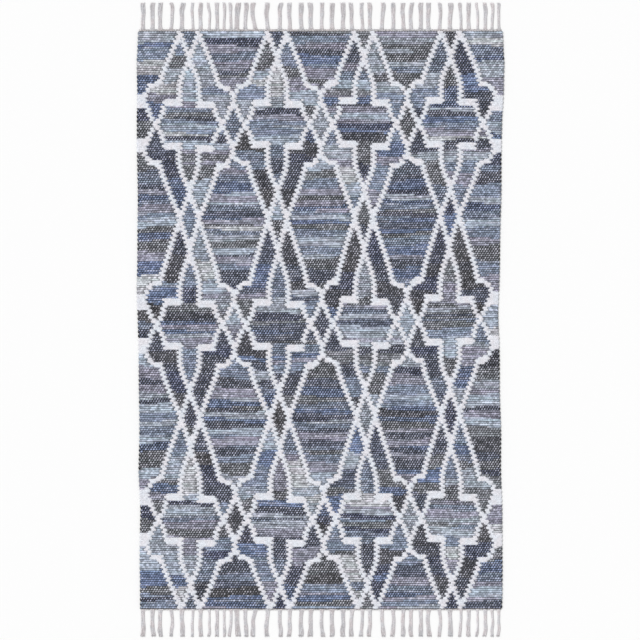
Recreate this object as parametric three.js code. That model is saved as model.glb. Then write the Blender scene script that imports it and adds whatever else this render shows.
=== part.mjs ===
import * as THREE from 'three';

// A flat-woven rag rug of denim strips on cotton warps, lying flat. Millimetres.
// X runs across the rug, Y along it to its far end, and Z up from the floor.
// The origin is under the rug's middle, on the floor.

// Driving dimensions of the cloth
const RUG_LENGTH = 2438;        // end to end of the woven cloth, headings included
const WEAVE_THICKNESS = 8;      // one warp with a denim strip over it and one under it

// Driving dimensions of the two ends
const HEADING_DEPTH = 9;        // the few tight picks of cotton that close each end
const YARN_THICKNESS = 5;       // heading and fringe lie a little lower than the weave
const FRINGE_LENGTH = 113;      // loose warp ends, trimmed to one line
const PIECE_GAP = 0.3;          // clearance between the weave and a heading

// A tassel is widest where its yarns spread: at the heading and at its cut end.
// A row is a section across the tassel.
const TASSEL_SECTIONS = [
  // along: 0 at the heading, 1 at the cut end; share: part of the tassel's width
  { along: 0.00, share: 1.22 },
  { along: 0.09, share: 0.96 },
  { along: 0.25, share: 0.92 },
  { along: 0.42, share: 0.95 },
  { along: 0.58, share: 1.02 },
  { along: 0.74, share: 1.10 },
  { along: 0.88, share: 1.18 },
  { along: 1.00, share: 1.16 },
];

// The hand-beaten selvedges wander. A row is a section across the rug, from the far end to
// the near one: the distance along the rug and where the left and right selvedges lie.
const SELVEDGE_SECTIONS = [
  { y: 1219, left: -764, right: 763 },
  { y: 1130, left: -767, right: 766 },
  { y: 1080, left: -770, right: 770 },
  { y: 960, left: -767, right: 768 },
  { y: 846, left: -769, right: 760 },
  { y: 670, left: -766, right: 757 },
  { y: 490, left: -766, right: 754 },
  { y: 316, left: -767, right: 752 },
  { y: 140, left: -770, right: 749 },
  { y: 20, left: -764, right: 744 },
  { y: -155, left: -761, right: 748 },
  { y: -330, left: -760, right: 750 },
  { y: -506, left: -760, right: 756 },
  { y: -640, left: -761, right: 757 },
  { y: -800, left: -753, right: 760 },
  { y: -1035, left: -757, right: 761 },
  { y: -1219, left: -755, right: 760 },
];

// The loose warp ends hang together in flat tassels, the same at both ends of the rug.
// A row is a tassel: the place of its root, its width, how far its middle bows to the
// right, and how far its cut end leans to the right.
const TASSELS = [
  // at, wide, bow, lean
  [-746, 17, -1, 2],
  [-706, 17, -1, 2],
  [-672, 17, -5, 3],
  [-628, 14, 5, 0],
  [-583, 18, -1, 4],
  [-536, 11, 0, -4],
  [-504, 16, 0, -1],
  [-468, 10, 3, -3],
  [-436, 15, 3, -2],
  [-406, 11, 2, 0],
  [-377, 12, 3, -6],
  [-353, 20, 0, 6],
  [-317, 16, 0, 4],
  [-273, 17, -6, -11],
  [-221, 17, -3, -5],
  [-171, 16, -2, 4],
  [-129, 16, 0, -3],
  [-79, 18, -3, -3],
  [-40, 18, -2, -2],
  [5, 15, -2, 3],
  [48, 18, -1, 0],
  [94, 18, 0, 0],
  [132, 16, 0, -6],
  [176, 14, 0, -5],
  [207, 16, 1, -3],
  [257, 16, 0, 6],
  [304, 16, 3, -2],
  [348, 16, -1, -3],
  [380, 16, -3, 2],
  [420, 17, 0, 2],
  [454, 17, -5, 3],
  [498, 14, 5, 0],
  [543, 18, -1, 4],
  [590, 12, 0, -4],
  [622, 16, 0, -2],
  [659, 10, 2, -3],
  [691, 15, 3, -3],
  [719, 12, 3, 1],
  [748, 12, 2, -3],
];

const HALF_LENGTH = RUG_LENGTH / 2;
const WEAVE_HALF_LENGTH = HALF_LENGTH - HEADING_DEPTH - PIECE_GAP;

const denimMaterial = new THREE.MeshStandardMaterial({
  color: 0x7a8190, roughness: 0.95, metalness: 0,
});
const cottonMaterial = new THREE.MeshStandardMaterial({
  color: 0xcfcdd0, roughness: 0.9, metalness: 0,
});

// A flat piece that stands on the floor, from its outline and its thickness
function flatPiece(name, outline, thickness, material) {
  const shape = new THREE.Shape(outline);
  const geometry = new THREE.ExtrudeGeometry(shape, { depth: thickness, bevelEnabled: false });
  const mesh = new THREE.Mesh(geometry, material);
  mesh.name = name;
  return mesh;
}

// The woven cloth: up the right selvedge and down the left one, cut short at the headings
function weaveOutline() {
  const trimmed = SELVEDGE_SECTIONS.map(({ y, left, right }) => ({
    y: THREE.MathUtils.clamp(y, -WEAVE_HALF_LENGTH, WEAVE_HALF_LENGTH), left, right,
  }));
  const leftSide = trimmed.map(({ y, left }) => new THREE.Vector2(left, y));
  const rightSide = trimmed.map(({ y, right }) => new THREE.Vector2(right, y));
  return [...leftSide, ...rightSide.reverse()];
}

// One side of a tassel, from its root to its cut end: side is -1 on the left, 1 on the right
function tasselSide([at, wide, bow, lean], side) {
  return TASSEL_SECTIONS.map(({ along, share }) => {
    const centre = at + lean * along + 4 * bow * along * (1 - along);
    return new THREE.Vector2(centre + side * wide * share / 2, HALF_LENGTH + FRINGE_LENGTH * along);
  });
}

// A heading with its tassels, as one comb that points along +Y
function combOutline({ left, right }) {
  const heel = HALF_LENGTH - HEADING_DEPTH;
  const teeth = TASSELS.flatMap((tassel) => [
    ...tasselSide(tassel, -1),
    ...tasselSide(tassel, 1).reverse(),
  ]);
  return [
    new THREE.Vector2(left, heel),
    new THREE.Vector2(left, HALF_LENGTH),
    ...teeth,
    new THREE.Vector2(right, HALF_LENGTH),
    new THREE.Vector2(right, heel),
  ];
}

const farSection = SELVEDGE_SECTIONS[0];
const nearSection = SELVEDGE_SECTIONS[SELVEDGE_SECTIONS.length - 1];
const nearOutline = combOutline(nearSection).map(({ x, y }) => new THREE.Vector2(x, -y));

const rug = new THREE.Group();
rug.add(flatPiece('woven_body', weaveOutline(), WEAVE_THICKNESS, denimMaterial));
rug.add(flatPiece('fringe_far', combOutline(farSection), YARN_THICKNESS, cottonMaterial));
rug.add(flatPiece('fringe_near', nearOutline, YARN_THICKNESS, cottonMaterial));

export default rug;
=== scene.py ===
# %% [markdown]
# This lesson finishes a flat-woven rag rug that is seen from straight above.
# The real rug has thin cotton warps along its length, and a thick weft of torn denim strips across
# it that hides them. A soft white cotton weft draws a trellis between the denim.
# It could be a flat plane with a picture of cloth on it. Real yarns were chosen instead, because the
# saw-tooth edges of the trellis and the salt-and-pepper grain both come from how the yarns cross.
# Everything is in metres, unless a name or a comment says otherwise.

import math

import bmesh
import bpy
import numpy as np
from mathutils import Matrix


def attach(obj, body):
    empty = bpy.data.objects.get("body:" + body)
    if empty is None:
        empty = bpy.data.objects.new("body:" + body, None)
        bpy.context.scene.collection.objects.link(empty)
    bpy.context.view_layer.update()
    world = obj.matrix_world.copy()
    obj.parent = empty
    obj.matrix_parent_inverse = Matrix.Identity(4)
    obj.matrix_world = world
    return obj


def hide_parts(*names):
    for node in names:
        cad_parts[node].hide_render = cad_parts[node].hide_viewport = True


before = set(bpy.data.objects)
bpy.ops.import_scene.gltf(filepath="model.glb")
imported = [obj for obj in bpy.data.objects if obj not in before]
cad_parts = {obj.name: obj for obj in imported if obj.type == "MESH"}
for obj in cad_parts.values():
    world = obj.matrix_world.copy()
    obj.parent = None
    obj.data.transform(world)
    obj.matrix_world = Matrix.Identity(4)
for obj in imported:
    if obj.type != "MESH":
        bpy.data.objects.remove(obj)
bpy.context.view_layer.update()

# %% [markdown]
# The picture is taken from straight above. A very long lens from far away keeps the rug's edges
# parallel, as they are in the photograph, and still works from any other side.

# %% Place the camera
METRES_PER_PIXEL = 0.0042
PIXELS_ACROSS_PICTURE = 640
CAMERA_HEIGHT = 24.0
PICTURE_CENTRE = (-0.002, -0.002)
SENSOR_WIDTH = 36.0      # millimetres
FARTHEST_SEEN = 100.0

camera_data = bpy.data.cameras.new("camera")
camera_data.sensor_width = SENSOR_WIDTH
camera_data.lens = SENSOR_WIDTH * CAMERA_HEIGHT / (METRES_PER_PIXEL * PIXELS_ACROSS_PICTURE)
camera_data.clip_end = FARTHEST_SEEN
camera = bpy.data.objects.new("camera", camera_data)
camera.location = (*PICTURE_CENTRE, CAMERA_HEIGHT)
bpy.context.scene.collection.objects.link(camera)
bpy.context.scene.camera = camera
print("lens", round(camera_data.lens, 1), "mm")

# %% [markdown]
# The light is that of a white studio: an even pale surround, and one wide soft sun from the upper
# left that gives each float of yarn a lit side and a shaded side.
# The Standard view keeps white cotton white.

# %% Light the studio
SURROUND_STRENGTH = 0.62
SUN_STRENGTH = 1.85
SUN_ANGLE = math.radians(20)
SUN_TILT = math.radians(42)
SUN_HEADING = math.radians(50)

world = bpy.data.worlds.new("studio")
world.use_nodes = True
surround = world.node_tree.nodes["Background"]
surround.inputs["Color"].default_value = (1.0, 1.0, 1.0, 1.0)
surround.inputs["Strength"].default_value = SURROUND_STRENGTH
bpy.context.scene.world = world

sun_data = bpy.data.lights.new("soft_sun", "SUN")
sun_data.energy = SUN_STRENGTH
sun_data.angle = SUN_ANGLE
sun = bpy.data.objects.new("soft_sun", sun_data)
sun.rotation_euler = (0.0, -SUN_TILT, -SUN_HEADING)
bpy.context.scene.collection.objects.link(sun)

bpy.context.scene.view_settings.view_transform = "Standard"
bpy.context.scene.view_settings.look = "None"
print("sun of", SUN_STRENGTH, "and surround of", SURROUND_STRENGTH)

# %% [markdown]
# A material is a small graph of nodes. Writing each Math node by hand hides the sum that it makes,
# so a socket is wrapped in a class whose + - * make the nodes. A number stays a Math node, and a
# colour or a vector goes through Vector Math, so that it keeps its three channels.

# %% Wrap a socket so that sums make nodes
class Wire:
    """One output socket of a finish's graph, which can be added, subtracted and multiplied."""

    def __init__(self, finish, socket):
        self.finish = finish
        self.socket = socket
        self.is_colour = socket.type in ("RGBA", "VECTOR")

    def _sum(self, operation, first, second):
        wires = [w for w in (first, second) if isinstance(w, Wire)]
        if not any(w.is_colour for w in wires) and not isinstance(second, tuple):
            return self.finish.node("Math", {"operation": operation}, {0: first, 1: second})
        return self.finish.node(
            "VectorMath", {"operation": operation}, {0: as_three(first), 1: as_three(second)}
        )

    def __add__(self, other):
        return self._sum("ADD", self, other)

    def __radd__(self, other):
        return self._sum("ADD", other, self)

    def __sub__(self, other):
        return self._sum("SUBTRACT", self, other)

    def __rsub__(self, other):
        return self._sum("SUBTRACT", other, self)

    def __mul__(self, other):
        return self._sum("MULTIPLY", self, other)

    def __rmul__(self, other):
        return self._sum("MULTIPLY", other, self)


def as_three(value):
    """A plain number as three equal channels. A wire or a triple stays as it is."""
    return (value, value, value) if isinstance(value, (int, float)) else value


# %% [markdown]
# A finish is then a material that grows node by node. Each of its methods adds one kind of node and
# hands back the output as a wire, so a finish reads like a recipe.

# %% Grow a material node by node
class Finish:
    """A material that grows node by node from its shader."""

    def __init__(self, name):
        self.material = bpy.data.materials.new(name)
        self.material.use_nodes = True
        self.tree = self.material.node_tree
        self.shader = self.tree.nodes["Principled BSDF"]

    def node(self, kind, settings=None, inputs=None, output=0):
        """Adds one node: its settings first, then the values or wires of its sockets."""
        made = self.tree.nodes.new("ShaderNode" + kind)
        for setting, value in (settings or {}).items():
            if setting == "steps":
                set_steps(made.color_ramp, value)
            else:
                setattr(made, setting, value)
        for socket, value in (inputs or {}).items():
            self.plug(made.inputs[socket], value)
        return Wire(self, made.outputs[output])

    def plug(self, socket, value):
        """Links a wire to a socket, or sets the socket to a plain value."""
        if isinstance(value, Wire):
            self.tree.links.new(value.socket, socket)
        else:
            socket.default_value = value

    def attribute(self, name):
        """A number that the mesh carries on its corners or faces."""
        return self.node("Attribute", {"attribute_name": name}, output="Fac")

    def noise(self, vector, scale, detail=2.0):
        return self.node("TexNoise", None, {"Vector": vector, "Scale": scale, "Detail": detail})

    def ranged(self, value, low, high):
        """0 where value is low or less, 1 where it is high or more."""
        return self.node("MapRange", None, {"Value": value, "From Min": low, "From Max": high})

    def three(self, x, y, z=0.0):
        return self.node("CombineXYZ", None, {"X": x, "Y": y, "Z": z})

    def blend(self, factor, low, high):
        """A colour between low and high."""
        inputs = {0: factor, 6: opaque(low), 7: opaque(high)}
        return self.node("Mix", {"data_type": "RGBA"}, inputs, output=2)

    def surface(self, colour, roughness, height, depth, **sockets):
        """Sets the shader's own sockets, and its normal from a height and a depth in metres."""
        bump = self.node("Bump", None, {"Height": height, "Distance": depth, "Strength": 1.0})
        self.plug(self.shader.inputs["Base Color"], colour)
        self.plug(self.shader.inputs["Roughness"], roughness)
        self.plug(self.shader.inputs["Normal"], bump)
        for name, value in sockets.items():
            self.plug(self.shader.inputs[name.replace("_", " ")], value)
        return self.material


def opaque(colour):
    """A triple with full alpha added. A wire stays as it is."""
    return (*colour, 1.0) if isinstance(colour, tuple) else colour


def set_steps(ramp, colours):
    """Gives a ramp one even step for each colour."""
    ramp.interpolation = "CONSTANT"
    while len(ramp.elements) < len(colours):
        ramp.elements.new(1.0)
    for number, colour in enumerate(colours):
        ramp.elements[number].position = number / len(colours)
        ramp.elements[number].color = opaque(colour)


# %% [markdown]
# The frame holds the cloth's uneven outline as a flat slab. Reading the selvedges from it means
# that the yarns follow the same wandering edges and nothing has to be fitted.

# %% Read the selvedges from the frame
def corners_of(node):
    """The different corners of a frame part, a tenth of a millimetre apart or more."""
    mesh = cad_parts[node].data
    flat = np.zeros(len(mesh.vertices) * 3)
    mesh.vertices.foreach_get("co", flat)
    return np.unique(flat.reshape(-1, 3).round(4), axis=0)


cloth = corners_of("woven_body")
stations = np.unique(cloth[:, 1])
left_edge = np.array([cloth[cloth[:, 1] == y, 0].min() for y in stations])
right_edge = np.array([cloth[cloth[:, 1] == y, 0].max() for y in stations])
cloth_end = stations.max()
cloth_top = cloth[:, 2].max()
print(len(stations), "sections, cloth ends at", cloth_end, "and is", cloth_top, "thick")

# %% [markdown]
# A weave is a grid. Warps are counted across the rug, and each row of weft, called a pick, is
# counted down from the far end. A pick goes over one warp and under the next, and the following
# pick does the opposite. Where it is on top it makes a float, and only the floats show.

# %% Count the warps and the picks
WARP_PITCH = 0.0056
PICK_PITCH_AIM = 0.0092

cloth_width = float(np.mean(right_edge - left_edge))
warps = round(cloth_width / WARP_PITCH)
picks = round(2 * cloth_end / PICK_PITCH_AIM)
pick_pitch = 2 * cloth_end / picks


def pick_y(pick):
    """The middle line of a pick, before the weave wanders."""
    return cloth_end - (pick + 0.5) * pick_pitch


def warp_x(warp):
    """Where a warp would be in a cloth with straight selvedges."""
    return (warp + 0.5 - warps / 2) * WARP_PITCH


def goes_over(pick, warp):
    return (pick + warp) % 2 == 0


def floats_of(pick):
    """The warps that a pick goes over."""
    return range(pick % 2, warps, 2)


print(warps, "warps and", picks, "picks of", round(pick_pitch * 1000, 2), "mm")

# %% [markdown]
# The trellis is a repeat, four across and three along. It is the same to the left and the right of
# a motif, and nearly the same above and below, so a quarter of one motif holds all its lines.
# u is measured out from the motif's middle and v up from it, in metres.

# %% Chart a quarter of the trellis
REPEAT_ACROSS = 0.367
MOTIFS_ACROSS = 4
LINE_WIDTH = 0.0186      # as charted: the fluffy yarn spreads a little past it
NODE_V = 0.386           # where the small diamonds between two motifs have their side corners
STRETCH_FROM = 0.168     # above this v the lines stretch to meet the next row of motifs

SLANTED_LINES = {
    # each is a chain of (u, v), from low to high
    "shaft": [
        (0.041, 0.100), (0.040, 0.165), (0.035, 0.187), (0.028, 0.210), (0.017, 0.235), (0.000, 0.277),
    ],
    "crossing to node": [(0.000, 0.277), (0.039, 0.386)],
    "step to node": [(0.120, 0.170), (0.110, 0.210), (0.094, 0.252), (0.077, 0.294), (0.039, 0.386)],
    "side to step": [(0.184, 0.098), (0.184, 0.110), (0.181, 0.126), (0.170, 0.143), (0.160, 0.155)],
    "waist to side": [(0.135, 0.000), (0.155, 0.031), (0.164, 0.053), (0.170, 0.072), (0.184, 0.098)],
    "waist to shoulder": [(0.135, 0.000), (0.118, 0.028), (0.108, 0.050), (0.103, 0.080)],
}
LEVEL_BARS = {
    # from_u, to_u, from_v, to_v
    "shoulder": (0.029, 0.106, 0.077, 0.105),
    "low step": (0.146, 0.171, 0.150, 0.158),
    "middle step": (0.116, 0.168, 0.158, 0.169),
    "high step": (0.113, 0.146, 0.169, 0.178),
}
SELVEDGE_BAR = {"selvedge": (0.175, 0.260, 0.062, 0.120)}


def on_a_line(u, v, line_width):
    """True where a slanted line of the chart covers (u, v)."""
    covered = np.zeros(u.shape, bool)
    for line in SLANTED_LINES.values():
        line_u, line_v = np.array(line).T
        within = (v >= line_v[0]) & (v <= line_v[-1])
        covered |= within & (np.abs(u - np.interp(v, line_v, line_u)) < line_width / 2)
    return covered


def on_a_bar(u, v, bars):
    """True where a level bar covers (u, v)."""
    covered = np.zeros(u.shape, bool)
    for from_u, to_u, from_v, to_v in bars.values():
        covered |= (u >= from_u) & (u < to_u) & (v >= from_v) & (v < to_v)
    return covered


print(len(SLANTED_LINES), "lines and", len(LEVEL_BARS) + 1, "bars")

# %% [markdown]
# The weaver didn't beat each row of motifs alike, so they are a little taller or shorter. Each row
# has the place of its middle, and how far it reaches up and down to the next row of diamonds.
# The motifs also drift. A column of them that leans to one side leans with its warps, and one that
# was beaten less rises. These shifts are in millimetres, for the four motifs from left to right.

# %% Place the rows of motifs
MOTIF_ROWS = [
    {"centre": 0.817, "rise": 0.386, "fall": 0.395, "lean": (0, 2, 0, -4), "lift": (0, 2, 4, 8)},
    {"centre": -0.023, "rise": 0.445, "fall": 0.391, "lean": (2, 9, 3, -10), "lift": (0, 0, 8, 24)},
    {"centre": -0.840, "rise": 0.426, "fall": 0.374, "lean": (5, 15, 15, 2), "lift": (0, -2, 2, 8)},
]
near_to_far = MOTIF_ROWS[::-1]
row_centres = [row["centre"] for row in near_to_far]
motif_x = [(motif - (MOTIFS_ACROSS - 1) / 2) * REPEAT_ACROSS for motif in range(MOTIFS_ACROSS)]


def shift_of(kind, motif, y):
    """How far a column of motifs leans or lifts at a place along the rug, in metres."""
    return np.interp(y, row_centres, [row[kind][motif] / 1000 for row in near_to_far])


def lift_at(x, y):
    """The lift at any place, between those of the nearest motifs."""
    share = np.eye(MOTIFS_ACROSS)
    return sum(
        np.interp(x, motif_x, share[motif]) * shift_of("lift", motif, y)
        for motif in range(MOTIFS_ACROSS)
    )


def chart_v(y):
    """The signed v on the quarter chart for a place along the rug, with its stretch undone."""
    centre, rise, fall = (np.array([row[key] for row in MOTIF_ROWS]) for key in ("centre", "rise", "fall"))
    away = y[..., None] - centre
    reach = np.where(away > 0, rise, fall)
    row = np.argmin(np.abs(away) / reach, axis=-1)[..., None]
    away = np.take_along_axis(away, row, -1)[..., 0]
    reach = np.take_along_axis(reach, row, -1)[..., 0]
    size = np.abs(away)
    share = (size - STRETCH_FROM) / (reach - STRETCH_FROM)
    size = np.where(size > STRETCH_FROM, STRETCH_FROM + share * (NODE_V - STRETCH_FROM), size)
    return np.copysign(np.minimum(size, NODE_V), away)


print("chart at the rug's middle", chart_v(np.array([0.0])))

# %% [markdown]
# White and denim meet at a saw-tooth: all bobbins travel the same way along a pick, so on one pick
# every boundary lies a little to the right and on the next a little to the left.
# The right half of each motif was also woven one pick late.

# %% Colour the floats white or denim
TOOTH = 0.85 * WARP_PITCH     # how far a boundary lies to the right or the left
LATE = pick_pitch


def charted_white(pick, warp, tooth=TOOTH, line_width=LINE_WIDTH):
    """True where the chart has white on a pick, at a warp or anywhere between two of them."""
    x = warp_x(warp) + np.where(pick % 2, -tooth, tooth)
    y = pick_y(pick)
    v = chart_v(y - lift_at(x, y))
    motif = np.clip(np.floor(x / REPEAT_ACROSS + MOTIFS_ACROSS / 2), 0, MOTIFS_ACROSS - 1)
    out = x - np.array(motif_x)[motif.astype(int)]
    late_v = np.abs(v + np.sign(out) * LATE / 2)
    at_selvedge = np.abs(x) > motif_x[-1]
    selvedge = at_selvedge & on_a_bar(np.abs(out), late_v, SELVEDGE_BAR)
    slanted = on_a_line(np.abs(out), np.abs(v), line_width)
    return slanted | on_a_bar(np.abs(out), late_v, LEVEL_BARS) | selvedge


white = charted_white(*np.mgrid[0:picks, 0:warps])
print("white share", round(float(white.mean()), 3))

# %% [markdown]
# Inside each patch between white lines, one bobbin of joined denim strips goes back and forth.
# The places of the chart that touch are gathered into patches first. The teeth are left out there
# and the lines are a little wider, so that a line parts its two sides well. A patch of a few
# floats is too small for a bobbin, so the weaver goes on with white there.

# %% Gather the floats into patches
PARTING_WIDTH = 0.0212   # of the lines, while the patches are gathered
SMALLEST_PATCH = 4       # floats
NEARBY = 4               # warps to either side, where a float looks for its patch


def leader_of(leaders, key):
    """The place that stands for the whole patch of a place."""
    while leaders[key] != key:
        leaders[key] = leaders[leaders[key]]
        key = leaders[key]
    return key


def gather_places():
    """The leader of each place between the lines, as {(pick, warp): leader}."""
    lines = charted_white(*np.mgrid[0:picks, 0:warps], tooth=0.0, line_width=PARTING_WIDTH)
    leaders = {}
    for pick, warp in np.argwhere(~lines).tolist():
        leaders[pick, warp] = (pick, warp)
        for other in ((pick, warp - 1), (pick - 1, warp)):
            if other in leaders:
                leaders[leader_of(leaders, (pick, warp))] = leader_of(leaders, other)
    return leaders


def gather_patches():
    """The patch of each denim float, as {(pick, warp): patch}, from the nearest place on its pick."""
    leaders, found = gather_places(), {}
    for pick in range(picks):
        for warp in floats_of(pick):
            charted = warp + (-1 if pick % 2 else 1)
            reach = range(charted - NEARBY, charted + NEARBY + 1)
            near = [place for place in reach if (pick, place) in leaders]
            if near and not white[pick, warp]:
                nearest = min(near, key=lambda place: abs(place - charted))
                found[pick, warp] = leader_of(leaders, (pick, nearest))
    return found


patches = gather_patches()
patch_sizes = {}
for patch in patches.values():
    patch_sizes[patch] = patch_sizes.get(patch, 0) + 1
patches = {key: patch for key, patch in patches.items() if patch_sizes[patch] >= SMALLEST_PATCH}
for pick in range(picks):
    for warp in floats_of(pick):
        white[pick, warp] = (pick, warp) not in patches
print(len(set(patches.values())), "patches of denim")

# %% [markdown]
# Torn jeans come in a handful of shades. They sit along one number from 0 to 1, and a colour ramp
# in the material turns that number into denim. How often a shade comes up is its weight.
# A strip lasts a certain length and then the next one follows, often in the middle of a pick. So a
# narrow patch keeps one colour for many picks, and a wide patch changes every few. Each bobbin
# was wound from jeans that suit each other: a wide patch leans to the middle shades, and a narrow
# one may lean to dark or to pale.
# A shade is written as it looks in the picture, on a scale to 255. Its dye is paler than that,
# because the hollows between the floats swallow a part of the light.

# %% Wind the strips through each patch
DENIM_SHADES = [
    # name, weight, thickness from 0 to 1, colour as seen
    ("charcoal", 10, 0.00, (61, 62, 66)),
    ("worn black", 10, 0.10, (76, 80, 92)),
    ("navy", 10, 0.20, (81, 89, 116)),
    ("slate", 13, 0.30, (96, 103, 121)),
    ("denim blue", 10, 0.50, (101, 115, 144)),
    ("grey", 11, 0.40, (121, 124, 130)),
    ("dusty blue", 13, 0.60, (121, 131, 149)),
    ("lilac grey", 10, 0.70, (133, 133, 147)),
    ("steel", 11, 0.80, (141, 147, 157)),
    ("faded blue", 9, 0.90, (143, 152, 164)),
    ("pale grey", 6, 0.90, (158, 160, 164)),
]
LIT_SHARE = 0.84         # of the light that reaches the floats, past their hollows
SHORTEST_STRIP = 0.20
LONGEST_STRIP = 1.00
STRIP_PER_FLOAT = 2.4 * WARP_PITCH
THICKNESS_SPREAD = 0.10
WIDE_PATCH = 300         # floats
WIDE_LEAN = (0.48, 0.68)      # along the list of shades, from 0 to 1
NARROW_LEAN = (0.0, 1.0)
LEAN_SPREAD = 0.32
SEED = 28

random = np.random.default_rng(SEED)
weights = np.array([weight for name, weight, thickness, colour in DENIM_SHADES], float)
shade_numbers = np.arange(len(DENIM_SHADES))


def dye_of(seen):
    """The dye of a shade that is written as it looks in the picture, on the shader's linear scale."""
    return tuple(((level / 255 + 0.055) / 1.055) ** 2.4 / LIT_SHARE for level in seen)


def new_strip(lean, last_shade):
    """A strip's shade, how thick it is, and the length that is left of it."""
    off = shade_numbers / shade_numbers[-1] - lean
    chance = weights * np.exp(-((off / LEAN_SPREAD) ** 2)) * (shade_numbers != last_shade)
    shade = random.choice(shade_numbers, p=chance / chance.sum())
    thickness = np.clip(DENIM_SHADES[shade][2] + random.normal(0.0, THICKNESS_SPREAD), 0.0, 1.0)
    length = random.uniform(SHORTEST_STRIP, LONGEST_STRIP)
    return {"shade": shade, "thick": thickness, "left": length}


def wind_strips():
    """The shade and the thickness of each float, on grids of picks by warps. White yarn is thick."""
    shade, thick, bobbins = np.zeros((picks, warps)), np.ones((picks, warps)), {}
    for pick in range(picks):
        for warp in floats_of(pick) if pick % 2 else reversed(floats_of(pick)):
            if white[pick, warp]:
                continue
            patch = patches[pick, warp]
            if patch not in bobbins:
                lean = random.uniform(*(WIDE_LEAN if patch_sizes[patch] > WIDE_PATCH else NARROW_LEAN))
                bobbins[patch] = {"lean": lean, **new_strip(lean, None)}
            strip = bobbins[patch]
            if strip["left"] <= 0:
                strip.update(new_strip(strip["lean"], strip["shade"]))
            shade[pick, warp] = (strip["shade"] + 0.5) / len(DENIM_SHADES)
            thick[pick, warp] = strip["thick"]
            strip["left"] -= STRIP_PER_FLOAT
    return shade, thick


float_shade, float_thick = wind_strips()
print("mean shade", round(float(float_shade[float_shade > 0].mean()), 3))

# %% [markdown]
# All yarns are made in one way. One ring is extruded along X into a plain yarn, and an Array
# modifier copies it. A tube round a curve would do for one yarn, but not for thousands of floats.

# %% Make a bundle of plain yarns
COPY_STEP = 4.0          # from one plain yarn to the next, more than their width of 2


def plain_yarns(name, sections, sides, count):
    """An object with count open yarns, each with a ring at x = 0, 1, 2 and so on."""
    bm = bmesh.new()
    bmesh.ops.create_circle(bm, segments=sides, radius=1.0)
    quarter_turn = Matrix.Rotation(math.radians(90), 3, "Y")
    bmesh.ops.rotate(bm, verts=bm.verts, cent=(0, 0, 0), matrix=quarter_turn)
    bmesh.ops.spin(
        bm, geom=bm.edges[:], cent=(0, 0, 0), axis=(1, 0, 0), dvec=(1, 0, 0),
        angle=0.0, steps=sections - 1, use_duplicate=False,
    )
    bmesh.ops.recalc_face_normals(bm, faces=bm.faces)
    mesh = bpy.data.meshes.new(name)
    bm.to_mesh(mesh)
    bm.free()
    yarns = bpy.data.objects.new(name, mesh)
    bpy.context.scene.collection.objects.link(yarns)
    array = yarns.modifiers.new("copies", "ARRAY")
    array.count = count
    array.use_relative_offset = False
    array.use_constant_offset = True
    array.constant_offset_displace = (0.0, COPY_STEP, 0.0)
    shown = yarns.evaluated_get(bpy.context.evaluated_depsgraph_get())
    yarns.data = bpy.data.meshes.new_from_object(shown)
    yarns.modifiers.clear()
    yarns.data.name = name
    return yarns


# %% [markdown]
# The sections of a plain yarn sit at whole numbers, so a corner's coordinates say which yarn, which
# section and which side it belongs to. With those three numbers each corner is moved to its place.

# %% Read which yarn, section and side a corner belongs to
def corner_numbers(mesh, sides):
    """Three whole numbers for each corner: its yarn, its section, and its side from the +Y one."""
    flat = np.zeros(len(mesh.vertices) * 3)
    mesh.vertices.foreach_get("co", flat)
    x, y, z = flat.reshape(-1, 3).T
    yarn = np.rint(y / COPY_STEP).astype(int)
    angle = np.arctan2(z, y - yarn * COPY_STEP)
    side = np.rint(angle * sides / math.tau).astype(int) % sides
    return yarn, np.rint(x).astype(int), side


def place_corners(mesh, x, y, z):
    """Moves every corner, and shades the mesh smooth."""
    mesh.vertices.foreach_set("co", np.stack([x, y, z], 1).astype(np.float32).ravel())
    mesh.polygons.foreach_set("use_smooth", np.ones(len(mesh.polygons), bool))
    mesh.update()


def add_numbers(mesh, name, domain, values):
    """Stores one number on each corner (POINT) or face (FACE) under a name."""
    layer = mesh.attributes.new(name, "FLOAT", domain)
    layer.data.foreach_set("value", np.asarray(values, np.float32))


# %% [markdown]
# No hand-woven cloth is square. The warps lean with the motifs and the selvedges, and slow waves
# push the yarns a few millimetres off their lines. The waves fade out towards the ends, where the
# heading holds the cloth straight. The near end was beaten less, so its last rows lie further out.

# %% Let the weave wander
# each wave has its height, its radians per metre across and along, and its phase
WAVES_ALONG = [(0.0016, 10.3, 2.1, 0.4), (0.0012, 17.1, -5.3, 2.0)]
WAVES_ACROSS = [(0.0012, 3.1, 7.9, 1.1), (0.0008, 0.0, 19.0, 4.0)]
HOLD_POWER = 6           # the higher, the later the waves fade out
NEAR_END_SPREAD = 0.004
SPREAD_FROM = 0.9


def sum_of(waves, x, y):
    return sum(height * np.sin(across * x + along * y + phase) for height, across, along, phase in waves)


def wander(x, y):
    """How far a place in the cloth is pushed sideways and along."""
    hold = 1 - np.minimum(np.abs(y / cloth_end), 1.0) ** HOLD_POWER
    spread = np.clip((-y - SPREAD_FROM) / (cloth_end - SPREAD_FROM), 0.0, 1.0) ** 2 * NEAR_END_SPREAD
    return sum_of(WAVES_ACROSS, x, y) * hold, sum_of(WAVES_ALONG, x, y) * hold - spread


def cloth_place(warp, y):
    """The real x and y of a warp number, whole or not, at a place along the rug."""
    x = warp_x(warp)
    half = warps * WARP_PITCH / 2
    share = np.eye(MOTIFS_ACROSS + 2)
    columns = [-half, *motif_x, half]
    shifts = [shift_of("lean", motif, y) for motif in range(MOTIFS_ACROSS)]
    shifts = [np.interp(y, stations, left_edge) + half, *shifts, np.interp(y, stations, right_edge) - half]
    lean = sum(np.interp(x, columns, share[number]) * shift for number, shift in enumerate(shifts))
    across, along = wander(x, y)
    return x + lean + across, y + along


print("the middle warp at the rug's middle is at", cloth_place(warps / 2, 0.0))

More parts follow.
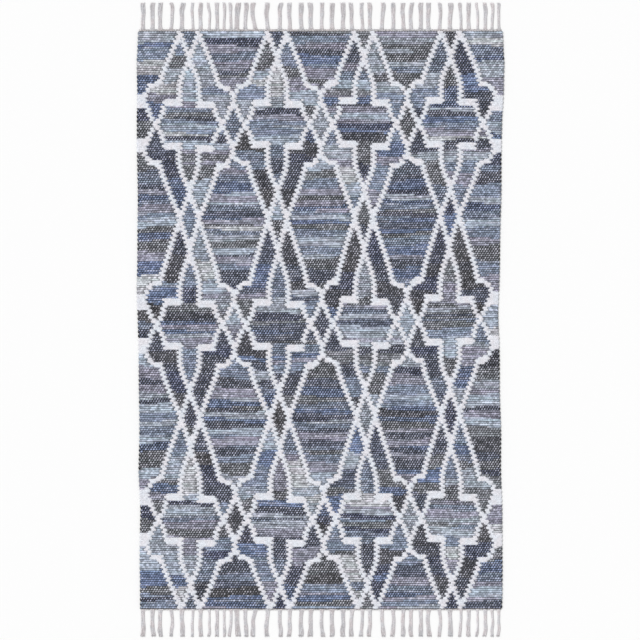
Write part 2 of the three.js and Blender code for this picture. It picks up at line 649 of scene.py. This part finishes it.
# %% [markdown]
# Now the weft itself. A pick is a flattened strip that rises over one warp and dips under the next.
# Where two yarns meet, their ends are pulled to the charted line, which seldom falls on a warp.
# A thin strip dips deep and shows as a row of dots. A thick one swallows the warps and shows as a
# ridge that hardly waves. Each float differs a little in width, as torn strips do. So a size that
# depends on the strip is a pair below: first for the thinnest strip, then for the thickest.
# At the selvedges the strip turns round the last warp towards the next pick.
# Where denim gives way to white it dives under it, so its last float is tucked into shade.

# %% Lay the picks
WEFT_SIDES = 4
EXTRA_SECTIONS = 2       # past the last warp at each selvedge: the turn and its tip
TURN = {"out": 0.75, "shift": 0.22, "width": 0.72}    # in warps, in picks, and of the full width
TIP = {"out": 0.95, "shift": 0.42, "width": 0.35}
TURN_WAVE = 0.3          # of the full wave, at the turn and its tip
SWELL = (0.88, 1.10)     # the width of a float, from the narrowest to the widest
PICK_JITTER = 0.00025
WAVE = 0.0019            # how far the middle of a pick rises and dips
STRIP_HALF_HEIGHT = cloth_top / 2 - WAVE
FILLED = (0.00025, 0.00145)   # how much of a dip the thinnest and the thickest strip fill
STRIP_HALF_WIDTH = (0.56 * pick_pitch, 0.67 * pick_pitch)
WHITE_HALF_WIDTH = 0.68 * pick_pitch
EDGE_DROOP = 0.45             # how much less than its middle the edges of a strip wave
EDGE_RISE = (0.0, 0.0016)     # how much higher than its middle the edges of a strip lie
LONGEST_PULL = 0.9 * WARP_PITCH   # for the end of a yarn that is pulled to the charted line
SEARCH_STEPS = 6              # halvings, to find the charted line between two warps
# the next three are for the last float of a yarn, the dip where it gives way, and the next float
PULL_SHARES = (0.5, 1.0, 0.5)
TOOTH_WIDTHS = (0.97, 0.80, 0.97)
TUCKS = (0.30, 1.0, 0.30)
OVER_EDGE_CROWN = (0.28, 0.40)    # how much of a crown's light and wear the edges of a float show; the rest is painted shade
UNDER_EDGE_CROWN = (0.0, 0.25)    # and the edges of a dip
DIP_CROWN = (0.0, 0.80)           # and the dip itself
SIDE_REACH = np.array([1, 0, -1, 0])    # of the four sides: one edge, the top, the other edge
SIDE_LIFT = np.array([0, 1, 0, -1])     # and the underside

sections = warps + 2 * EXTRA_SECTIONS
weft = plain_yarns("weft", sections, WEFT_SIDES, picks)
yarn, section, side = corner_numbers(weft.data, WEFT_SIDES)
print(len(weft.data.polygons), "faces of weft")


def teeth():
    """Next to a change of yarn: how far sections are pulled, how wide they stay, and the tuck."""
    pull, narrowed, tucked = (np.full((picks, sections), start) for start in (0.0, 1.0, 0.0))
    changes = white[:, :-2] != white[:, 2:]
    pick, warp = np.nonzero(changes & goes_over(*np.mgrid[0:picks, 0:warps - 2]))
    low, high = warp.astype(float), warp + 2.0
    for halving in range(SEARCH_STEPS):
        middle = (low + high) / 2
        alike = charted_white(pick, middle) == white[pick, warp]
        low, high = np.where(alike, middle, low), np.where(alike, high, middle)
    way = np.clip((middle - warp - 1) * WARP_PITCH, -LONGEST_PULL, LONGEST_PULL)
    for step, share in enumerate(PULL_SHARES):
        place = (pick, warp + step + EXTRA_SECTIONS)
        np.add.at(pull, place, share * way)
        np.minimum.at(narrowed, place, TOOTH_WIDTHS[step])
        np.maximum.at(tucked, place, TUCKS[step])
    return np.clip(pull, -LONGEST_PULL, LONGEST_PULL), narrowed, tucked


def float_of(pick, warp):
    """The float that covers the stretch from a warp to the next."""
    crest = np.where(goes_over(pick, warp), warp, warp + 1)
    first = pick % 2
    last = warps - 1 - (warps - 1 - first) % 2
    return pick, np.clip(crest, first, last)


def by_thickness(pair, thick):
    """A size between that of the thinnest strip and that of the thickest."""
    return np.interp(thick, (0, 1), pair)


def lay_picks():
    """Moves the corners of the plain weft to their places, and returns their crown and tuck, which the
    finishes turn into painted shade and wear.
    """
    warp = section - EXTRA_SECTIONS
    at_tip = (warp == -2) | (warp == warps + 1)
    at_turn = (warp == -1) | (warp == warps)

    def by_place(tip, turn, within):
        return np.where(at_tip, tip, np.where(at_turn, turn, within))

    over = np.where(goes_over(yarn, warp), 1.0, -1.0) * by_place(TURN_WAVE, TURN_WAVE, 1.0)
    swell = random.uniform(*SWELL, (picks, sections))[yarn, section]
    pull, narrowed, tucked = (grid[yarn, section] for grid in teeth())
    width = swell * narrowed * by_place(TIP["width"], TURN["width"], 1.0)
    out = by_place(TIP["out"], TURN["out"], EXTRA_SECTIONS)
    warp_place = np.clip(warp, -out, warps - 1 + out)
    partner = np.where((yarn + (warp > 0)) % 2 == 0, -1.0, 1.0)
    shift = by_place(TIP["shift"], TURN["shift"], 0.0) * partner * pick_pitch
    jitter = random.normal(0.0, PICK_JITTER, (picks, sections))[yarn, section]
    x, y = cloth_place(warp_place, pick_y(yarn) + shift + jitter)
    reach, lift = SIDE_REACH[side], SIDE_LIFT[side]
    thick, is_white = float_thick[float_of(yarn, warp)], white[float_of(yarn, warp)]
    half_width = np.where(is_white, WHITE_HALF_WIDTH, by_thickness(STRIP_HALF_WIDTH, thick))
    y = y + reach * half_width * width
    filled = by_thickness(FILLED, thick) * np.abs(over)
    wave = (WAVE - filled) * over * np.where(lift == 0, 1.0 - EDGE_DROOP, 1.0)
    rise = np.where(lift == 0, by_thickness(EDGE_RISE, thick) * width, 0.0)
    height = (STRIP_HALF_HEIGHT + filled) * np.minimum(width, 1.0)
    place_corners(weft.data, x + pull, y, cloth_top / 2 + wave + rise + lift * height)
    # the crown number: 1 on a float's top, less on its edges and in the dips, where the finishes paint
    # shade
    edge = np.where(over > 0, by_thickness(OVER_EDGE_CROWN, thick), by_thickness(UNDER_EDGE_CROWN, thick))
    crown = np.where(lift == 0, edge, by_thickness(DIP_CROWN, thick))
    return np.where(over * lift > 0.9, 1.0, crown), tucked


crown, tucked = lay_picks()
print("weft stands", round(max(v.co.z for v in weft.data.vertices) * 1000, 2), "mm high")

# %% [markdown]
# Each face lies between two warps, on one side of a pick, and belongs to the float that the pick
# makes over one of them. It takes its shade from that float. The numbers are stored on the mesh,
# where the material reads them.

# %% Number the faces of the weft
def face_numbers(mesh):
    """For each face its yarn, its first section and its side, from its corners."""
    starts = np.zeros(len(mesh.polygons), int)
    mesh.polygons.foreach_get("loop_start", starts)
    corner = np.zeros(len(mesh.loops), int)
    mesh.loops.foreach_get("vertex_index", corner)
    four = corner[starts[:, None] + np.arange(4)]
    first_side = side[four].min(1)
    wraps = side[four].max(1) - first_side > 1
    return yarn[four[:, 0]], section[four].min(1), np.where(wraps, WEFT_SIDES - 1, first_side)


face_yarn, face_section, face_side = face_numbers(weft.data)
covering = float_of(face_yarn, face_section - EXTRA_SECTIONS)
add_numbers(weft.data, "shade", "FACE", float_shade[covering])
add_numbers(weft.data, "thick", "FACE", float_thick[covering])
add_numbers(weft.data, "fleck", "FACE", random.random((picks, warps))[covering])
add_numbers(weft.data, "flank", "FACE", face_side)
add_numbers(weft.data, "crown", "POINT", crown)
add_numbers(weft.data, "tucked", "POINT", tucked)
add_numbers(weft.data, "pick", "POINT", yarn)
add_numbers(weft.data, "yarn_number", "FACE", face_yarn)
add_numbers(weft.data, "section_number", "FACE", face_section)
add_numbers(weft.data, "corner_section", "POINT", section)
add_numbers(weft.data, "corner_side", "POINT", side)
print("faces numbered", len(face_yarn))

# %% [markdown]
# The weft is now one mesh that goes from selvedge to selvedge. It is parted into its real yarns:
# the white trellis weft, and the denim in three widths so that no mesh gets too heavy. A patch
# always stays whole.

# %% Say which piece each float belongs to
TRELLIS = 3
DENIM_PIECES = ["denim_weft_left", "denim_weft_middle", "denim_weft_right"]


def piece_numbers():
    """0 to 2 for the denim widths and 3 for the trellis, on a grid of picks by warps."""
    warps_in = {}
    for (pick, warp), patch in patches.items():
        warps_in.setdefault(patch, []).append(warp)
    width = {patch: int(3 * np.mean(inside) / warps) for patch, inside in warps_in.items()}
    piece = np.full((picks, warps), TRELLIS)
    for key, patch in patches.items():
        piece[key] = width[patch]
    return piece


face_piece = piece_numbers()[covering]
print("faces in each piece", np.bincount(face_piece))

# %% [markdown]
# Where denim stops, its open end goes on a little way under the white and is drawn together there.
# White stays full for one more ring before it comes to a point, so its lines hold together from
# pick to pick. It also lies flat, so its shading breaks at its two edges and its rows run together.

# %% Part the weft into its yarns
DENIM_TAIL = 0.0010
WHITE_TAIL = 0.0020


def add_rings(bm, ends, tail):
    """Adds a full ring to each open end, a tail further on, and returns the edges of the new ends."""
    face_section = bm.faces.layers.float["section_number"]
    corner_section = bm.verts.layers.float["corner_section"]
    grown = bmesh.ops.extrude_edge_only(bm, edges=ends)["geom"]
    new_corners = {part for part in grown if isinstance(part, bmesh.types.BMVert)}
    outward = {}
    for face in (part for part in grown if isinstance(part, bmesh.types.BMFace)):
        way = -1 if round(face[face_section]) == round(face.verts[0][corner_section]) else 1
        face[face_section] += way
        outward.update({corner: way for corner in face.verts if corner in new_corners})
    for corner, way in outward.items():
        corner.co.x += way * tail
        corner[corner_section] += way
    return [edge for edge in bm.edges if edge.is_boundary]


def part_out(name, number, tail, flat_edges=False):
    """A new object with the faces of one piece, and its open ends drawn together to points."""
    bm = bmesh.new()
    bm.from_mesh(weft.data)
    others = [f for f, piece in zip(bm.faces, face_piece) if piece != number]
    bmesh.ops.delete(bm, geom=others, context="FACES")
    ends = [e for e in bm.edges if e.is_boundary]
    if flat_edges:
        ends = add_rings(bm, ends, tail)
    else:
        for corner in {corner for end in ends for corner in end.verts}:
            inward = corner.link_faces[0].calc_center_median().x - corner.co.x
            corner.co.x -= math.copysign(tail, inward)
    bmesh.ops.collapse(bm, edges=ends, uvs=False)
    bmesh.ops.recalc_face_normals(bm, faces=bm.faces)
    side_of = bm.verts.layers.float["corner_side"]
    for edge in bm.edges:
        first, second = (round(corner[side_of]) for corner in edge.verts)
        edge.smooth = not (flat_edges and first == second and SIDE_LIFT[first] == 0)
    mesh = bpy.data.meshes.new(name)
    bm.to_mesh(mesh)
    bm.free()
    piece = bpy.data.objects.new(name, mesh)
    bpy.context.scene.collection.objects.link(piece)
    print(name, len(mesh.polygons), "faces")
    return piece


denim_pieces = [part_out(name, number, DENIM_TAIL) for number, name in enumerate(DENIM_PIECES)]
trellis = part_out("trellis_weft", TRELLIS, WHITE_TAIL, flat_edges=True)
bpy.data.objects.remove(weft)

# %% [markdown]
# A baked picture of these yarns needs a map without overlaps. Each stretch of yarn between two
# warps gets a small cell, with its four sides stacked in it, and the cells fill the square row by
# row. The material doesn't use this map: it is only there to be painted on.

# %% Spread the yarns over a square map
def read_numbers(mesh, name):
    """The whole numbers that a mesh carries under a name."""
    layer = mesh.attributes[name]
    values = np.zeros(len(layer.data), np.float32)
    layer.data.foreach_get("value", values)
    return np.rint(values).astype(int)


def spread_map(mesh, cell_of_face, side_of_face, sides):
    """Gives each face its part of a cell: u runs along the yarn and v round it."""
    cells = int(cell_of_face.max()) + 1
    columns = math.ceil(math.sqrt(sides * cells))
    rows = math.ceil(cells / columns)
    totals = np.zeros(len(mesh.polygons), int)
    mesh.polygons.foreach_get("loop_total", totals)
    loop_face = np.repeat(np.arange(len(mesh.polygons)), totals)
    corner = np.zeros(len(mesh.loops), int)
    mesh.loops.foreach_get("vertex_index", corner)
    corner_section = read_numbers(mesh, "corner_section")[corner]
    first = np.full(len(mesh.polygons), corner_section.max())
    np.minimum.at(first, loop_face, corner_section)
    along = corner_section - first[loop_face]
    across = (read_numbers(mesh, "corner_side")[corner] - side_of_face[loop_face]) % sides
    across = np.where(across > 1, 0.5, across)    # the point of a yarn is on no side
    cell = cell_of_face[loop_face]
    u = (cell % columns + along) / columns
    v = (cell // columns + (side_of_face[loop_face] + across) / sides) / rows
    layer = mesh.uv_layers.new(name="OFBake")
    layer.data.foreach_set("uv", np.stack([u, v], 1).astype(np.float32).ravel())
    return columns, rows


for piece in denim_pieces + [trellis]:
    key = read_numbers(piece.data, "yarn_number") * (sections + 2)
    key = key + read_numbers(piece.data, "section_number")
    cell = np.unique(key, return_inverse=True)[1].ravel()
    side_number = read_numbers(piece.data, "flank")
    print(piece.name, "map of", spread_map(piece.data, cell, side_number, WEFT_SIDES), "cells")

# %% [markdown]
# The warps run the length of the cloth in its middle, flattened by the beating. They hardly show,
# but they are what the floats ride over. Their ends, past the cloth, are the fringe.

# %% Stretch the warps
WARP_SIDES = 4
WARP_SECTIONS = 14
WARP_HALF_WIDTH = 0.0022
WARP_HALF_HEIGHT = 0.0005


def close_ends(thing):
    """Fills the open ends of yarns."""
    bm = bmesh.new()
    bm.from_mesh(thing.data)
    bmesh.ops.holes_fill(bm, edges=[e for e in bm.edges if e.is_boundary], sides=0)
    bm.to_mesh(thing.data)
    bm.free()


warp_sheet = plain_yarns("warp_sheet", WARP_SECTIONS, WARP_SIDES, warps)
yarn, section, side = corner_numbers(warp_sheet.data, WARP_SIDES)
line_y = -cloth_end + 2 * cloth_end * section / (WARP_SECTIONS - 1)
line_x, line_y = cloth_place(yarn, line_y)
place_corners(
    warp_sheet.data, line_x - SIDE_REACH[side] * WARP_HALF_WIDTH, line_y,
    cloth_top / 2 + SIDE_LIFT[side] * WARP_HALF_HEIGHT,
)
close_ends(warp_sheet)
print(len(warp_sheet.data.polygons), "faces of warp")

# %% [markdown]
# The heading closes the weave with four tight picks of plain cotton. It is woven like the rest,
# only finer, so it is made in the same way.

# %% Weave the headings
HEADING_PICKS = 4
HEADING_FULLNESS = 0.62  # half the width of a pick, of the pitch
HEADING_WAVE = 0.0010
HEADING_END = 0.5        # how full a pick is at its two ends
comb = corners_of("fringe_far")
comb_levels = np.unique(comb[:, 1])
heading_start, heading_stop = comb_levels[0], comb_levels[1]
yarn_top = comb[:, 2].max()


def weave_heading(name, toward, start):
    """A heading at the far end (toward is 1) or the near end (toward is -1)."""
    heading_pitch = (heading_stop - start) / HEADING_PICKS
    heading = plain_yarns(name, warps, WEFT_SIDES, HEADING_PICKS)
    yarn, section, side = corner_numbers(heading.data, WEFT_SIDES)
    over = np.where(goes_over(yarn, section), 1.0, -1.0)
    reach, lift = SIDE_REACH[side], SIDE_LIFT[side]
    full = np.where((section == 0) | (section == warps - 1), HEADING_END, 1.0)
    x = cloth_place(section, np.full(len(yarn), toward * cloth_end))[0]
    y = toward * (start + (yarn + 0.5) * heading_pitch) + reach * heading_pitch * HEADING_FULLNESS * full
    z = yarn_top / 2 + HEADING_WAVE * over + lift * (yarn_top / 2 - HEADING_WAVE) * full
    place_corners(heading.data, x, y, z)
    # crown 1 on the tops of the floats; the rest of the heading gets painted shade
    add_numbers(heading.data, "crown", "POINT", over * lift > 0.9)
    close_ends(heading)
    return heading


headings = [
    weave_heading("heading_far", 1, heading_start),
    weave_heading("heading_near", -1, heading_start + NEAR_END_SPREAD),
]
print("heading from", heading_start, "to", heading_stop)

# %% [markdown]
# Each tassel of the fringe is a flat bundle of seven loose warp ends. The frame's comb says where
# a tassel lies, how wide it is and how it bends, in a few sections.

# %% Read the tassels from the comb
def tassel_table(node, toward):
    """The levels along the fringe, and the left and right side of each tassel at each level."""
    points = np.unique(corners_of(node)[:, :2] * (1, toward), axis=0)    # seen from above
    levels = np.unique(points[:, 1])[1:]
    sides = []
    for number, level in enumerate(levels):
        xs = np.sort(points[points[:, 1] == level, 0])
        sides.append(xs[1:-1] if number == 0 else xs)    # the first level has the heading's ends too
    sides = np.array(sides)
    return levels, sides[:, 0::2], sides[:, 1::2]


levels, lefts, rights = tassel_table("fringe_far", 1)
print(lefts.shape[1], "tassels with", len(levels), "sections")

# %% [markdown]
# The yarns of a tassel share its width, side by side in two loose layers. A tassel sways a little as
# a whole, and each yarn wavers in it and is cut at its own length. All of that grows towards the tips,
# because the heading holds the other end.

# %% Comb out the fringe
YARNS_PER_TASSEL = 7
FRINGE_SECTIONS = 15
FRINGE_SIDES = 5
FRINGE_RADIUS = 0.0017
THINNEST = 0.70          # of the radius
LONGEST_TRIM = 0.0030
HELD_IN_HEADING = 0.003
YARN_WAVER, YARN_BENDS = 0.0011, 13.0         # metres, and radians along the whole tassel
TASSEL_SWAY, TASSEL_BENDS = 0.0022, 7.0
LAYER_WAVER, LAYER_BENDS = 0.4, 6.0           # of the height of a layer
FRINGE_CROWN = (0.5, 0.8)                     # crown number halfway up a yarn, and how much more at its top; the underside gets painted shade


def comb_fringe(name, node, toward):
    """All the yarns of one fringe, following the tassels of that comb."""
    levels, lefts, rights = tassel_table(node, toward)
    tassels = lefts.shape[1]
    count = tassels * YARNS_PER_TASSEL
    fringe = plain_yarns(name, FRINGE_SECTIONS, FRINGE_SIDES, count)
    yarn, section, side = corner_numbers(fringe.data, FRINGE_SIDES)
    tassel, place = yarn // YARNS_PER_TASSEL, yarn % YARNS_PER_TASSEL
    trim = random.uniform(-LONGEST_TRIM, 0.0, count)[yarn]
    share = section / (FRINGE_SECTIONS - 1)
    start = heading_stop - HELD_IN_HEADING
    y = start + (levels[-1] + trim - start) * share
    left, right = np.zeros(len(y)), np.zeros(len(y))
    for number in range(tassels):
        mine = tassel == number
        left[mine] = np.interp(y[mine], levels, lefts[:, number])
        right[mine] = np.interp(y[mine], levels, rights[:, number])
    room = (right - left) / 2 - FRINGE_RADIUS
    x = (left + right) / 2 + room * (2 * place / (YARNS_PER_TASSEL - 1) - 1)
    phase = random.uniform(0, math.tau, count)[yarn]
    x = x + YARN_WAVER * np.sin(phase + YARN_BENDS * share) * share
    sway = random.uniform(0, math.tau, tassels)[tassel]
    x = x + TASSEL_SWAY * np.sin(sway + TASSEL_BENDS * share) * share
    layer = place % 2 + LAYER_WAVER * np.sin(phase + LAYER_BENDS * share)
    middle = FRINGE_RADIUS + (yarn_top - 2 * FRINGE_RADIUS) * np.clip(layer, 0.0, 1.0)
    angle = side * math.tau / FRINGE_SIDES
    thick = FRINGE_RADIUS * random.uniform(THINNEST, 1.0, (count, FRINGE_SECTIONS))[yarn, section]
    x = x - toward * np.cos(angle) * thick
    place_corners(fringe.data, x, toward * y, middle + np.sin(angle) * thick)
    # the top of each yarn keeps its colour, and its sides and underside get painted shade
    crown = np.clip(FRINGE_CROWN[0] + FRINGE_CROWN[1] * np.sin(angle), 0, 1)
    add_numbers(fringe.data, "crown", "POINT", crown)
    close_ends(fringe)
    print(name, tassels, "tassels,", len(fringe.data.polygons), "faces")
    return fringe


fringes = [comb_fringe("tassels_far", "fringe_far", 1), comb_fringe("tassels_near", "fringe_near", -1)]

# %% [markdown]
# Denim has a dark warp face and a pale back, and a torn strip shows both. So a float's crown, where
# the strip is rubbed, shows a little of the pale back, and now and then the strip turns over and shows
# its back for a few centimetres. Shade and light are painted in as well: the deep places between
# floats go dark with painted shade, and the crowns get a painted highlight. The dye also fades and
# turns a little green or lilac along a strip. A noise that is stretched along X, on another lane for
# each pick, gives such streaks. Thin strips differ more from crown to crown, and thick ones along
# their length.

# %% Finish the denim
PALE_BACK = (0.60, 0.59, 0.665)
GREEN_CAST = (0.95, 1.01, 0.99)
LILAC_CAST = (1.04, 0.98, 1.03)
# each of these pairs is for the thinnest strip and for the thickest
FADING = (0.36, 0.62)         # how much the dye changes along a strip
BACK_SHOWS = (0.28, 0.38)     # how much paler a strip is where it shows its back
CROWN_LIGHT_AND_WEAR = (1.35, 1.0)     # how much painted light and wear its crown gets
FLOATS_DIFFER = (1.00, 0.78)  # how much one float differs from the next
LIGHT_AND_WEAR_SPAN = (0.40, 0.90)      # the crown numbers where the painted shade ends and where painted highlight and wear are full
LIT_AND_WORN_LEVEL = 1.38             # of the dye, on a crown with full painted highlight and wear
PAINTED_SHADE_LEVEL = 0.07           # of the dye, in the painted shade of the thickest strip; thinner ones go darker there
TUCKED_SHADE = 0.60           # how much painted shade darkens the end of a strip, where it dives under the white
FIBRE_GRAIN = (1900.0, 700.0, 1900.0)    # fibres per metre along X, Y and Z
DENIM_FUZZ = 0.0009                      # how deep the fibres are


def denim_finish():
    denim = Finish("denim_strips")
    thick, crown, fleck, tucked, pick, flank = (
        denim.attribute(name) for name in ("thick", "crown", "fleck", "tucked", "pick", "flank")
    )
    thin = 1 - thick
    shades = [dye_of(seen) for name, weight, thickness, seen in DENIM_SHADES]
    dyed = denim.node("ValToRGB", {"steps": shades}, {0: denim.attribute("shade")})
    here = denim.node("TexCoord", output="Object")
    along = denim.node("SeparateXYZ", inputs={0: here}, output="X")

    def for_strip(pair):
        """A number between that of the thinnest strip and that of the thickest."""
        return pair[0] + thick * (pair[1] - pair[0])

    def streak(per_metre, lane, low, high):
        """A noise with so many changes a metre, as 0 where it is low and 1 where it is high."""
        return denim.ranged(denim.noise(denim.three(along * per_metre, lane), 1.0), low, high)

    # the factors of pick and flank only keep the lanes of two streaks from meeting
    fade = streak(9.0, pick * 3.7 + flank * 11.3, 0.25, 0.75)
    patchy = streak(42.0, pick * 5.1 + flank * 7.9, 0.25, 0.75)
    turned = streak(9.0, pick * 7.3 + flank * 4.1, 0.59, 0.64)
    ruffled = streak(16.0, pick * 4.3, 0.40, 0.70) * thick
    lilac = streak(6.0, pick * 2.9, 0.30, 0.70)
    fibre = denim.noise(here * FIBRE_GRAIN, 1.0, 3.0)

    # the dye: mostly long changes, some short ones, and less of both in thin strips
    colour = dyed * (1.0 + (fade * 0.80 + patchy * 0.42 - 0.62) * for_strip(FADING))
    colour = colour * denim.blend(lilac, GREEN_CAST, LILAC_CAST)
    # the pale back: where a strip is turned over, and rubbed through on the crowns of thin strips
    colour = denim.blend(turned * for_strip(BACK_SHOWS), colour, PALE_BACK)
    colour = denim.blend((0.18 + fleck * 0.50) * crown * thin * thin, colour, PALE_BACK)
    # painted shade and highlight, with some wear: dark off the crowns, pale on them, and paler further
    # down where a thick strip is faded or ruffled
    worn = denim.ranged(crown * for_strip(CROWN_LIGHT_AND_WEAR) + thick * (fade * 0.36 - 0.03), *LIGHT_AND_WEAR_SPAN)
    worn = worn + (1 - worn) * ruffled * 0.3
    # the painted shade of the hollows and the painted highlight of the crowns go onto the dye here
    colour = colour * (thick * PAINTED_SHADE_LEVEL + worn * LIT_AND_WORN_LEVEL) * (0.80 + fibre * 0.40)
    colour = colour * (1.0 + (fleck - 0.5) * for_strip(FLOATS_DIFFER))
    # painted shade at the end of a strip, where it dives under the white
    colour = colour * (1.0 - tucked * TUCKED_SHADE)
    return denim.surface(
        colour, 0.78 + fibre * 0.2, fibre, DENIM_FUZZ, Specular_IOR_Level=0.25, Sheen_Weight=0.10
    )


denim_material = denim_finish()
print("denim has", len(denim_material.node_tree.nodes), "nodes")

# %% [markdown]
# The cotton has no strips and no wear, so one function serves for all of it, with other numbers.
# Away from its crowns each is painted darker, as painted shade in the depths. The trellis is bleached
# white. The heading and the tassels are undyed, and the heading is more mottled, because its picks
# are packed tight. The warps inside the cloth are painted dark all over, as painted shade deep in the
# weave. In every one small clouds are a little warmer or cooler, as in yarn from many bales.

# %% Finish the cotton yarns
CLOUDS_PER_METRE = 200.0
WARMTHS_PER_METRE = 30.0
WARM_CAST = (1.02, 0.99, 0.98)
COOL_CAST = (0.98, 1.01, 1.02)
EVEN_GRAIN = (1200.0, 1200.0, 1200.0)
LONG_GRAIN = (1500.0, 180.0, 1500.0)
COTTON_FUZZ = 0.0006
COTTONS = {
    # colour on the crowns, colour of the painted shade in the depths, grain, how mottled
    "white_cotton": ((0.765, 0.767, 0.815), (0.68, 0.70, 0.765), EVEN_GRAIN, 1.0),
    # the hidden warps are dark all over: painted shade deep in the weave
    "painted_shade_warp_cotton": ((0.30, 0.30, 0.32), (0.26, 0.26, 0.28), LONG_GRAIN, 0.7),
    "undyed_cotton": ((0.72, 0.695, 0.715), (0.46, 0.44, 0.455), LONG_GRAIN, 0.7),
    "heading_cotton": ((0.78, 0.75, 0.765), (0.50, 0.48, 0.49), EVEN_GRAIN, 2.4),
}


def cotton_finish(name):
    """Soft cotton: painted shade away from the crowns, mottled, with the grain of its fibres."""
    crown_colour, shaded_colour, grain, mottle = COTTONS[name]
    cotton = Finish(name)
    here = cotton.node("TexCoord", output="Object")
    fibre = cotton.noise(here * grain, 1.0, 3.0)
    cloud = cotton.noise(here, CLOUDS_PER_METRE) - 0.5
    # painted shade: the depth colour away from the crowns
    soft = cotton.blend(cotton.attribute("crown"), shaded_colour, crown_colour)
    colour = soft * (0.90 + fibre * 0.20) * (1.0 + cloud * mottle)
    warmth = cotton.ranged(cotton.noise(here, WARMTHS_PER_METRE), 0.35, 0.65)
    colour = colour * cotton.blend(warmth, WARM_CAST, COOL_CAST)
    return cotton.surface(
        colour, 0.82 + fibre * 0.16, fibre, COTTON_FUZZ, Specular_IOR_Level=0.2, Sheen_Weight=0.2
    )


cottons = {name: cotton_finish(name) for name in COTTONS}
print("cottons", list(cottons))

# %% [markdown]
# The pieces now get their material and the body that they ride on, and the frame's node under
# each is hidden. A rug has no joints, so that is the one body of the part.

# %% Join the pieces to the frame
def fit(piece, material, node):
    """Gives a piece its finish, lets it ride on the body, and hides the node of the frame that it covers.
    """
    piece.data.materials.clear()
    piece.data.materials.append(material)
    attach(piece, "root")
    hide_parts(node)


for piece in denim_pieces:
    fit(piece, denim_material, "woven_body")
fit(trellis, cottons["white_cotton"], "woven_body")
# the warps inside the cloth take the dark of painted shade
fit(warp_sheet, cottons["painted_shade_warp_cotton"], "woven_body")
for piece, node in zip(headings, ["fringe_far", "fringe_near"]):
    fit(piece, cottons["heading_cotton"], node)
for piece, node in zip(fringes, ["fringe_far", "fringe_near"]):
    fit(piece, cottons["undyed_cotton"], node)
print("pieces fitted to", list(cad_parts))

# %% [markdown]
# The rug is one sheet of cloth, and the warps carry all the rest. Its flat size is the mean width,
# by the length between the outer edges of the headings.

print("sheet of", round(cloth_width, 3), "by", round(2 * heading_stop, 3), "m")

# %% [markdown]
# The floor is a plain pale plane just under the rug. It isn't part of the object.

# %% Put a floor under it
FLOOR_HALF = 30.0
FLOOR_DROP = 0.0005
FLOOR_COLOUR = (0.93, 0.93, 0.93)
FLOOR_ROUGHNESS = 0.9

floor_bm = bmesh.new()
bmesh.ops.create_grid(floor_bm, x_segments=1, y_segments=1, size=FLOOR_HALF)
bmesh.ops.translate(floor_bm, verts=floor_bm.verts, vec=(0.0, 0.0, -FLOOR_DROP))
floor_mesh = bpy.data.meshes.new("floor")
floor_bm.to_mesh(floor_mesh)
floor_bm.free()
floor = bpy.data.objects.new("floor", floor_mesh)
bpy.context.scene.collection.objects.link(floor)
floor_finish = Finish("pale_floor")
floor_finish.plug(floor_finish.shader.inputs["Base Color"], opaque(FLOOR_COLOUR))
floor_finish.plug(floor_finish.shader.inputs["Roughness"], FLOOR_ROUGHNESS)
floor_mesh.materials.append(floor_finish.material)
print("floor", FLOOR_DROP * 1000, "mm under the rug")
